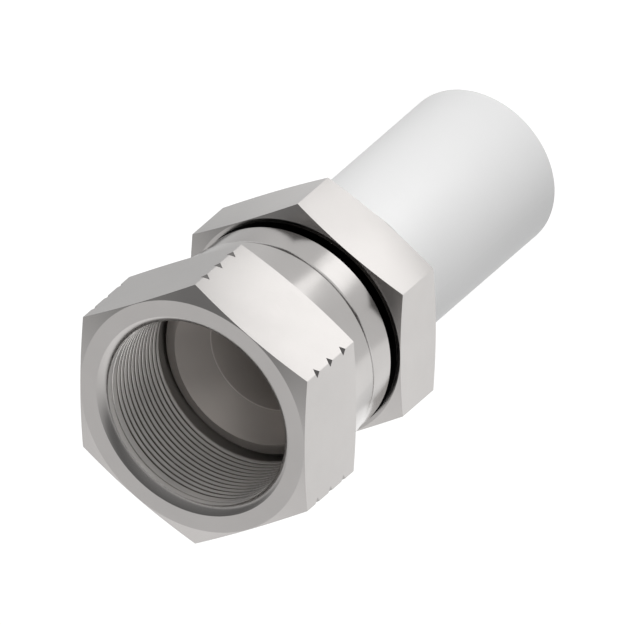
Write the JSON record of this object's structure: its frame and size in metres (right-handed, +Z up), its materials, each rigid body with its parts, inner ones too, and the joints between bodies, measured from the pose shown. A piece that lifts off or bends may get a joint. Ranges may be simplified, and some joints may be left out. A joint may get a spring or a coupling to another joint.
{
  "type": "swivel hose fitting",
  "caption": "Steel hose end with a captive swivel nut around a nipple with a conical seat, a spanner hexagon and a plain crimp ferrule over a ribbed tail.",
  "frame": {"origin": "centre of the ferrule's open end, on which the fitting stands", "axes": "+Z up the common axis, from the hose end to the nut's mouth; +Y towards a corner of each hexagon; +X across flats"},
  "size_m": [0.055, 0.0636, 0.1217],
  "materials": {
    "nut_steel": "bright zinc plated, turned and milled",
    "nipple_steel": "bright zinc plated, turned and milled",
    "ferrule_steel": "matt pale zinc plated, turned"
  },
  "bodies": {
    "hose_end": {"hose_nipple": "nipple_steel", "crimp_ferrule": "ferrule_steel"},
    "nut": {"swivel_nut": "nut_steel"}
  },
  "joints": [
    {"name": "nut_swivel", "type": "hinge", "parent": "hose_end", "child": "nut", "pos_m": [0, 0, 0.1012], "axis": [0, 0, 1], "continuous": true}
  ]
}
